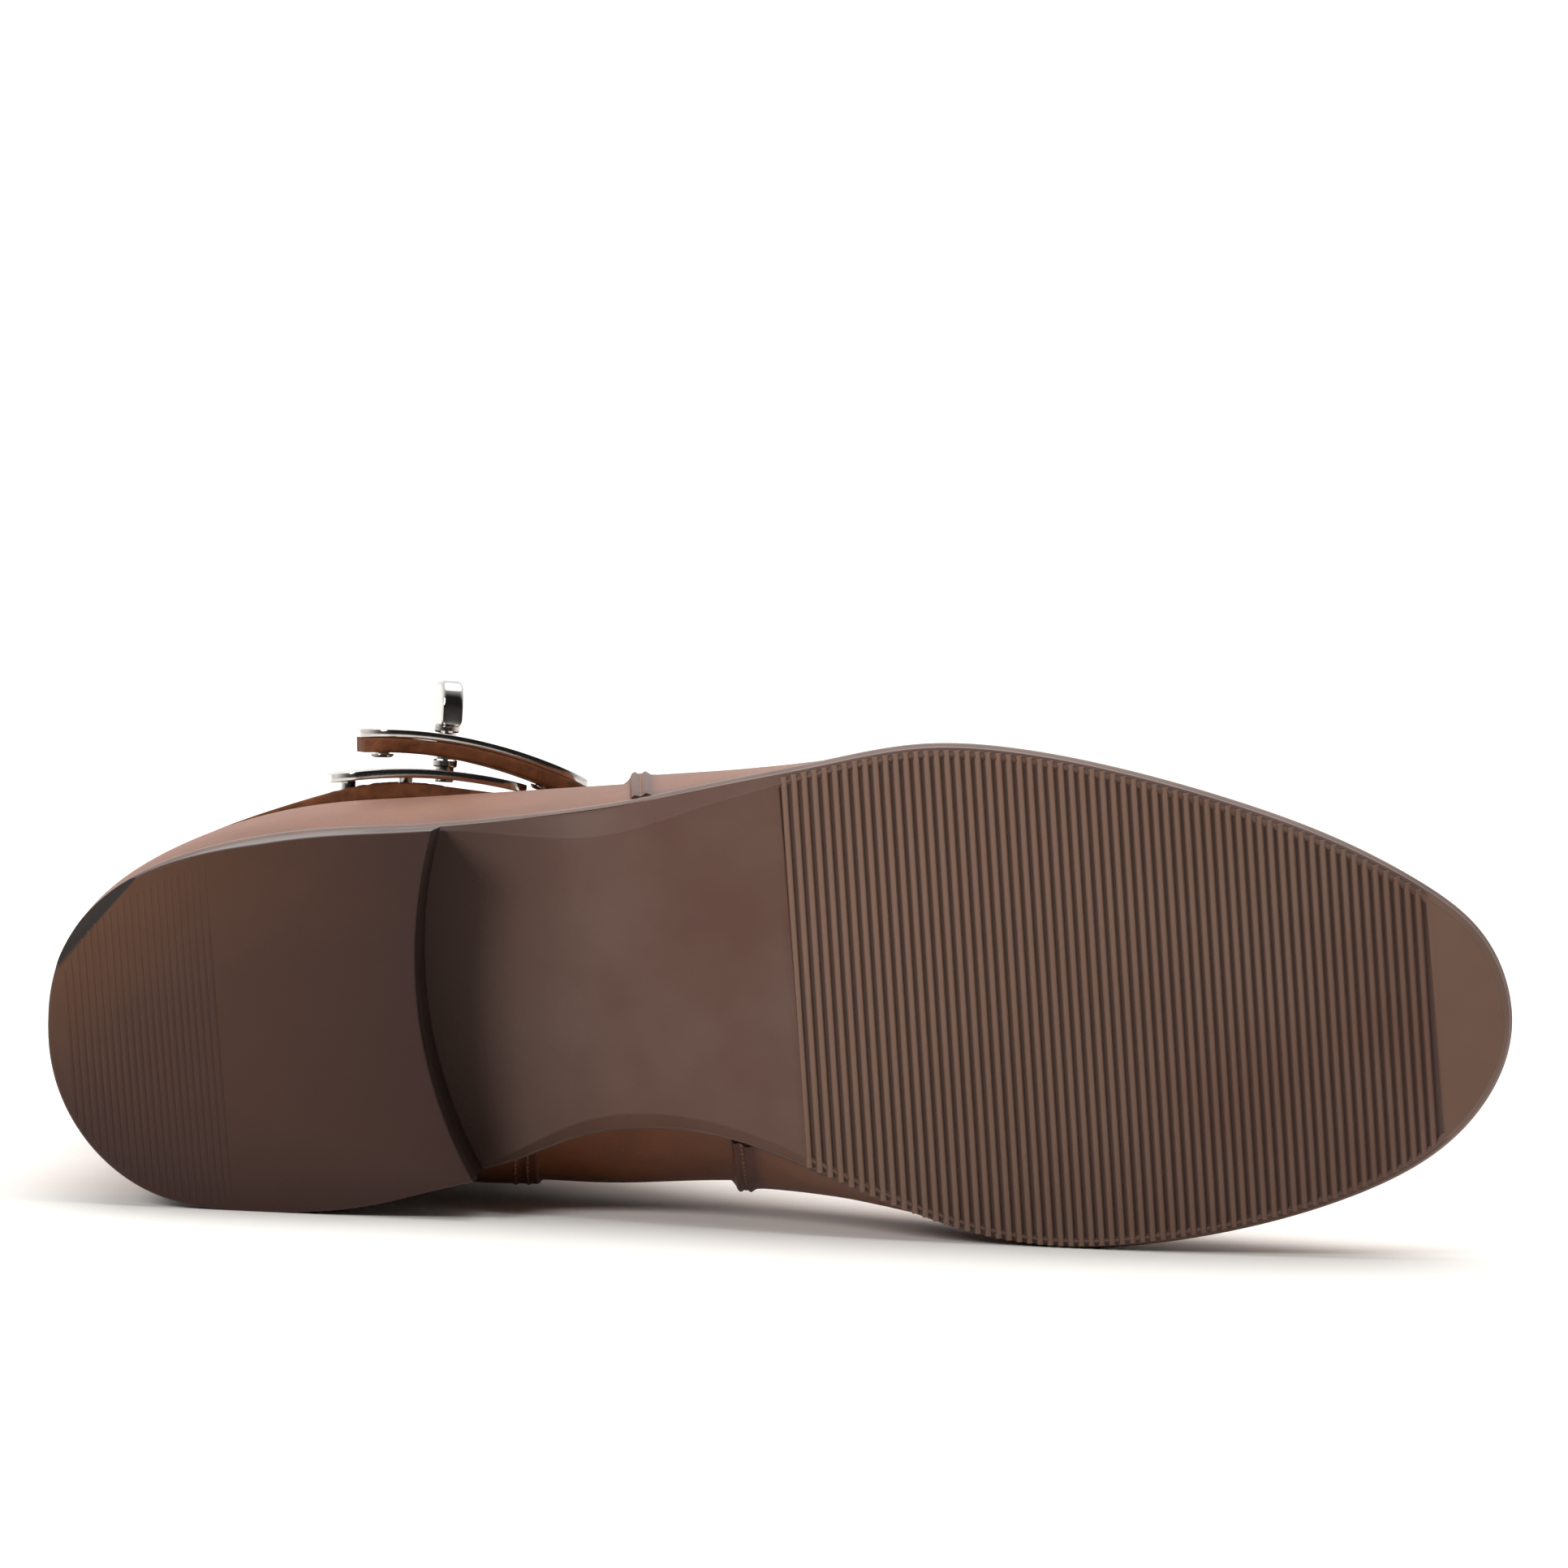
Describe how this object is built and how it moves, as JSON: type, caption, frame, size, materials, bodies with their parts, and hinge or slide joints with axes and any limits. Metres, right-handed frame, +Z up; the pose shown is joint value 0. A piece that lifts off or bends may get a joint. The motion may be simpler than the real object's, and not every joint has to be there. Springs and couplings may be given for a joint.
{
  "type": "ankle boot",
  "caption": "Right-foot ankle boot lying on its inner side, with a hollow leather upper, shaped sole, low block heel and an ankle strap closed by a turn-lock metal clasp.",
  "frame": {"origin": "middle of the lying boot's bounding box, on the floor", "axes": "+X from heel to toe, +Y up the leg from sole to collar, +Z up from the floor to the boot's outer side"},
  "size_m": [0.2602, 0.1428, 0.0894],
  "materials": {
    "outsole_rubber": "satin brown moulded rubber",
    "heel_block_gloss": "polished dark brown",
    "top_piece_rubber": "satin brown rubber",
    "insole_leather": "tan lining leather",
    "upper_leather": "smooth brown leather",
    "strap_leather": "brown leather with orange-brown cut edges",
    "base_steel": "polished nickel",
    "plate_steel": "polished nickel",
    "toggle_steel": "polished nickel"
  },
  "bodies": {
    "boot": {"outsole": "outsole_rubber", "heel_block": "heel_block_gloss", "heel_top_piece": "top_piece_rubber", "insole": "insole_leather", "upper": "upper_leather", "ankle_strap": "strap_leather", "clasp_base": "base_steel", "clasp_plate": "plate_steel"},
    "toggle": {"clasp_toggle": "toggle_steel"}
  },
  "joints": [
    {"name": "toggle_turn", "type": "hinge", "parent": "boot", "child": "toggle", "pos_m": [-0.06137, 0.01683, 0.06997], "axis": [0.0133, 0.0725, 0.9973], "range_deg": [0, 90]}
  ]
}
